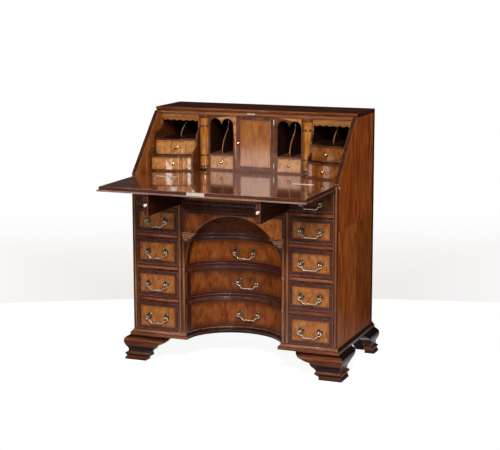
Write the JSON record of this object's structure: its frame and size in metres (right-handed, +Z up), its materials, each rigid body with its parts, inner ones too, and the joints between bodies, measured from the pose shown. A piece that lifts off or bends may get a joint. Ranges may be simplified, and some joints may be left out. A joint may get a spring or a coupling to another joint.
{
  "type": "fall front secretaire",
  "caption": "Slant fall desk with an arched kneehole, concave kneehole drawers, side drawer columns and a stepped pigeonhole gallery.",
  "frame": {"origin": "centre of the bounding box's base, on the floor, with the fall open", "axes": "+X to the viewer's right along the front, +Y from front to back, +Z up"},
  "size_m": [0.984, 0.8424, 1.07],
  "materials": {
    "carcass_mahogany": "polished mahogany veneer, vertical grain on the sides",
    "dark_mahogany": "dark stained and polished mahogany",
    "drawer_veneer": "golden brown figured veneer with a dark crossbanded border, polished",
    "writing_veneer": "reddish brown veneer in book-matched panels, high gloss",
    "antique_brass": "aged brass, rubbed bright on the high spots"
  },
  "bodies": {
    "carcass": {"side_panel_left": "carcass_mahogany", "side_panel_right": "carcass_mahogany", "top_board": "carcass_mahogany", "back_panel": "dark_mahogany", "writing_bed": "writing_veneer", "bottom_board": "carcass_mahogany", "column_frame_left": "carcass_mahogany", "column_frame_right": "carcass_mahogany", "centre_deck": "carcass_mahogany", "arch_panel": "drawer_veneer", "niche_frame": "dark_mahogany", "base_moulding": "dark_mahogany", "foot_front_left": "dark_mahogany", "foot_front_right": "dark_mahogany", "foot_back_left": "dark_mahogany", "foot_back_right": "dark_mahogany", "gallery_case": "carcass_mahogany", "half_column_left": "drawer_veneer", "half_column_right": "drawer_veneer", "bed_hinge_left": "antique_brass", "bed_hinge_right": "antique_brass"},
    "fall": {"fall_front": "writing_veneer", "fall_hinge_left": "antique_brass", "fall_hinge_right": "antique_brass"},
    "loper_left": {"loper_left": "carcass_mahogany"},
    "drawer_left_1": {"drawer_left_1": "drawer_veneer"},
    "bail_left_1": {"bail_left_1": "antique_brass"},
    "drawer_left_2": {"drawer_left_2": "drawer_veneer"},
    "bail_left_2": {"bail_left_2": "antique_brass"},
    "drawer_left_3": {"drawer_left_3": "drawer_veneer"},
    "bail_left_3": {"bail_left_3": "antique_brass"},
    "drawer_left_4": {"drawer_left_4": "drawer_veneer"},
    "bail_left_4": {"bail_left_4": "antique_brass"},
    "drawer_left_5": {"drawer_left_5": "drawer_veneer"},
    "bail_left_5": {"bail_left_5": "antique_brass"},
    "loper_right": {"loper_right": "carcass_mahogany"},
    "drawer_right_1": {"drawer_right_1": "drawer_veneer"},
    "bail_right_1": {"bail_right_1": "antique_brass"},
    "drawer_right_2": {"drawer_right_2": "drawer_veneer"},
    "bail_right_2": {"bail_right_2": "antique_brass"},
    "drawer_right_3": {"drawer_right_3": "drawer_veneer"},
    "bail_right_3": {"bail_right_3": "antique_brass"},
    "drawer_right_4": {"drawer_right_4": "drawer_veneer"},
    "bail_right_4": {"bail_right_4": "antique_brass"},
    "drawer_right_5": {"drawer_right_5": "drawer_veneer"},
    "bail_right_5": {"bail_right_5": "antique_brass"},
    "niche_drawer_1": {"niche_drawer_1": "drawer_veneer"},
    "niche_bail_1": {"niche_bail_1": "antique_brass"},
    "niche_drawer_2": {"niche_drawer_2": "drawer_veneer"},
    "niche_bail_2": {"niche_bail_2": "antique_brass"},
    "niche_drawer_3": {"niche_drawer_3": "drawer_veneer"},
    "niche_bail_3": {"niche_bail_3": "antique_brass"},
    "centre_drawer": {"centre_drawer": "drawer_veneer"},
    "step_drawer_left_lower": {"step_drawer_left_lower": "drawer_veneer"},
    "step_drawer_left_upper": {"step_drawer_left_upper": "drawer_veneer"},
    "small_drawer_left": {"small_drawer_left": "drawer_veneer"},
    "step_drawer_right_lower": {"step_drawer_right_lower": "drawer_veneer"},
    "step_drawer_right_upper": {"step_drawer_right_upper": "drawer_veneer"},
    "small_drawer_right": {"small_drawer_right": "drawer_veneer"},
    "gallery_door": {"gallery_door": "drawer_veneer"}
  },
  "joints": [
    {"name": "fall_hinge", "type": "hinge", "parent": "carcass", "child": "fall", "pos_m": [0, -0.06349, 0.801], "axis": [1, 0, 0], "range_deg": [-133.5, 0]},
    {"name": "loper_left_slide", "type": "slide", "parent": "carcass", "child": "loper_left", "axis": [0, -1, 0], "range_m": [-0.3213, 0]},
    {"name": "drawer_left_1_slide", "type": "slide", "parent": "carcass", "child": "drawer_left_1", "axis": [0, -1, 0], "range_m": [0, 0.34]},
    {"name": "bail_left_1_swing", "type": "hinge", "parent": "drawer_left_1", "child": "bail_left_1", "pos_m": [-0.3455, -0.08983, 0.19397], "axis": [-1, 0, 0], "range_deg": [0, 85]},
    {"name": "drawer_left_2_slide", "type": "slide", "parent": "carcass", "child": "drawer_left_2", "axis": [0, -1, 0], "range_m": [0, 0.34]},
    {"name": "bail_left_2_swing", "type": "hinge", "parent": "drawer_left_2", "child": "bail_left_2", "pos_m": [-0.3455, -0.08983, 0.33894], "axis": [-1, 0, 0], "range_deg": [0, 85]},
    {"name": "drawer_left_3_slide", "type": "slide", "parent": "carcass", "child": "drawer_left_3", "axis": [0, -1, 0], "range_m": [0, 0.34]},
    {"name": "bail_left_3_swing", "type": "hinge", "parent": "drawer_left_3", "child": "bail_left_3", "pos_m": [-0.3455, -0.08983, 0.47842], "axis": [-1, 0, 0], "range_deg": [0, 85]},
    {"name": "drawer_left_4_slide", "type": "slide", "parent": "carcass", "child": "drawer_left_4", "axis": [0, -1, 0], "range_m": [0, 0.34]},
    {"name": "bail_left_4_swing", "type": "hinge", "parent": "drawer_left_4", "child": "bail_left_4", "pos_m": [-0.3455, -0.08983, 0.61344], "axis": [-1, 0, 0], "range_deg": [0, 85]},
    {"name": "drawer_left_5_slide", "type": "slide", "parent": "carcass", "child": "drawer_left_5", "axis": [0, -1, 0], "range_m": [0, 0.34]},
    {"name": "bail_left_5_swing", "type": "hinge", "parent": "drawer_left_5", "child": "bail_left_5", "pos_m": [-0.3455, -0.08983, 0.73173], "axis": [-1, 0, 0], "range_deg": [0, 85]},
    {"name": "loper_right_slide", "type": "slide", "parent": "carcass", "child": "loper_right", "axis": [0, -1, 0], "range_m": [-0.3213, 0]},
    {"name": "drawer_right_1_slide", "type": "slide", "parent": "carcass", "child": "drawer_right_1", "axis": [0, -1, 0], "range_m": [0, 0.34]},
    {"name": "bail_right_1_swing", "type": "hinge", "parent": "drawer_right_1", "child": "bail_right_1", "pos_m": [0.3455, -0.08983, 0.19397], "axis": [-1, 0, 0], "range_deg": [0, 85]},
    {"name": "drawer_right_2_slide", "type": "slide", "parent": "carcass", "child": "drawer_right_2", "axis": [0, -1, 0], "range_m": [0, 0.34]},
    {"name": "bail_right_2_swing", "type": "hinge", "parent": "drawer_right_2", "child": "bail_right_2", "pos_m": [0.3455, -0.08983, 0.33894], "axis": [-1, 0, 0], "range_deg": [0, 85]},
    {"name": "drawer_right_3_slide", "type": "slide", "parent": "carcass", "child": "drawer_right_3", "axis": [0, -1, 0], "range_m": [0, 0.34]},
    {"name": "bail_right_3_swing", "type": "hinge", "parent": "drawer_right_3", "child": "bail_right_3", "pos_m": [0.3455, -0.08983, 0.47842], "axis": [-1, 0, 0], "range_deg": [0, 85]},
    {"name": "drawer_right_4_slide", "type": "slide", "parent": "carcass", "child": "drawer_right_4", "axis": [0, -1, 0], "range_m": [0, 0.34]},
    {"name": "bail_right_4_swing", "type": "hinge", "parent": "drawer_right_4", "child": "bail_right_4", "pos_m": [0.3455, -0.08983, 0.61344], "axis": [-1, 0, 0], "range_deg": [0, 85]},
    {"name": "drawer_right_5_slide", "type": "slide", "parent": "carcass", "child": "drawer_right_5", "axis": [0, -1, 0], "range_m": [0, 0.34]},
    {"name": "bail_right_5_swing", "type": "hinge", "parent": "drawer_right_5", "child": "bail_right_5", "pos_m": [0.3455, -0.08983, 0.73173], "axis": [-1, 0, 0], "range_deg": [0, 85]},
    {"name": "niche_drawer_1_slide", "type": "slide", "parent": "carcass", "child": "niche_drawer_1", "axis": [0, -1, 0], "range_m": [0, 0.22]},
    {"name": "niche_bail_1_swing", "type": "hinge", "parent": "niche_drawer_1", "child": "niche_bail_1", "pos_m": [0, 0.10125, 0.19328], "axis": [-1, 0, 0], "range_deg": [0, 85]},
    {"name": "niche_drawer_2_slide", "type": "slide", "parent": "carcass", "child": "niche_drawer_2", "axis": [0, -1, 0], "range_m": [0, 0.22]},
    {"name": "niche_bail_2_swing", "type": "hinge", "parent": "niche_drawer_2", "child": "niche_bail_2", "pos_m": [0, 0.08686, 0.33637], "axis": [-1, 0, 0], "range_deg": [0, 85]},
    {"name": "niche_drawer_3_slide", "type": "slide", "parent": "carcass", "child": "niche_drawer_3", "axis": [0, -1, 0], "range_m": [0, 0.22]},
    {"name": "niche_bail_3_swing", "type": "hinge", "parent": "niche_drawer_3", "child": "niche_bail_3", "pos_m": [0, 0.05275, 0.4732], "axis": [-1, 0, 0], "range_deg": [0, 85]},
    {"name": "centre_drawer_slide", "type": "slide", "parent": "carcass", "child": "centre_drawer", "axis": [0, -1, 0], "range_m": [0, 0.3]},
    {"name": "step_drawer_left_lower_slide", "type": "slide", "parent": "carcass", "child": "step_drawer_left_lower", "axis": [0, -1, 0], "range_m": [0, 0.12]},
    {"name": "step_drawer_left_upper_slide", "type": "slide", "parent": "carcass", "child": "step_drawer_left_upper", "axis": [0, -1, 0], "range_m": [0, 0.12]},
    {"name": "small_drawer_left_slide", "type": "slide", "parent": "carcass", "child": "small_drawer_left", "axis": [0, -1, 0], "range_m": [0, 0.12]},
    {"name": "step_drawer_right_lower_slide", "type": "slide", "parent": "carcass", "child": "step_drawer_right_lower", "axis": [0, -1, 0], "range_m": [0, 0.12]},
    {"name": "step_drawer_right_upper_slide", "type": "slide", "parent": "carcass", "child": "step_drawer_right_upper", "axis": [0, -1, 0], "range_m": [0, 0.12]},
    {"name": "small_drawer_right_slide", "type": "slide", "parent": "carcass", "child": "small_drawer_right", "axis": [0, -1, 0], "range_m": [0, 0.12]},
    {"name": "gallery_door_hinge", "type": "hinge", "parent": "carcass", "child": "gallery_door", "pos_m": [0.0855, 0.18417, 0.924], "axis": [0, 0, 1], "range_deg": [0, 90]}
  ]
}
